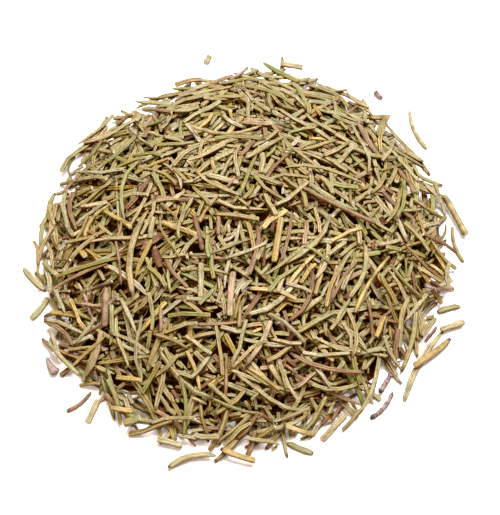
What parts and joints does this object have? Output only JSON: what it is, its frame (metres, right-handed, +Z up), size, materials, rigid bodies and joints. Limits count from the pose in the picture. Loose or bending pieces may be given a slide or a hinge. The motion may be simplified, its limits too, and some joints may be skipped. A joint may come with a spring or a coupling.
{
  "type": "heap of dried rosemary leaves",
  "caption": "Low round heap of loose dried, cut rosemary leaves with a few stem and bark bits, poured out on a flat surface, with single leaves lying on it and round its edge.",
  "frame": {"origin": "on the surface the heap lies on, under the middle of the heap", "axes": "+Z up from the surface; -Y is the side that faces the viewer"},
  "size_m": [0.109, 0.1207, 0.022],
  "materials": {
    "sage_leaf": "dry matte leaf",
    "khaki_leaf": "dry matte leaf",
    "ochre_leaf": "dry satin leaf",
    "tan_leaf": "dry matte leaf",
    "pale_leaf": "dry matte leaf",
    "stem_wood": "dry stem skin",
    "bark": "dry flaked bark",
    "flower_stalk": "dry downy stalk"
  },
  "bodies": {
    "root": {"leaf_heap": "sage_leaf", "long_leaf": "khaki_leaf", "bark_chip": "bark", "brown_stem": "stem_wood", "ochre_leaf": "ochre_leaf", "tan_leaf": "tan_leaf", "thick_stem": "stem_wood", "cross_twig": "stem_wood", "tan_stem": "tan_leaf", "ochre_twig": "ochre_leaf", "ochre_arc": "ochre_leaf", "pale_arc": "pale_leaf", "stray_stem": "khaki_leaf", "stray_leaf_1": "khaki_leaf", "stray_leaf_2": "pale_leaf", "stray_crumb_1": "flower_stalk", "stray_cut_1": "pale_leaf", "stray_crumb_2": "sage_leaf", "stray_leaf_3": "sage_leaf", "stray_leaf_4": "khaki_leaf", "flower_cup": "flower_stalk", "stray_cut_2": "sage_leaf", "stray_leaf_5": "khaki_leaf", "stray_leaf_6": "ochre_leaf", "stray_leaf_7": "sage_leaf", "stray_cut_3": "pale_leaf", "flower_stalk_1": "flower_stalk", "flower_stalk_2": "flower_stalk", "stray_leaf_8": "pale_leaf", "stray_leaf_9": "ochre_leaf", "stray_cut_4": "pale_leaf", "stray_leaf_10": "sage_leaf", "stray_leaf_11": "stem_wood", "stray_cut_5": "pale_leaf"}
  },
  "joints": []
}
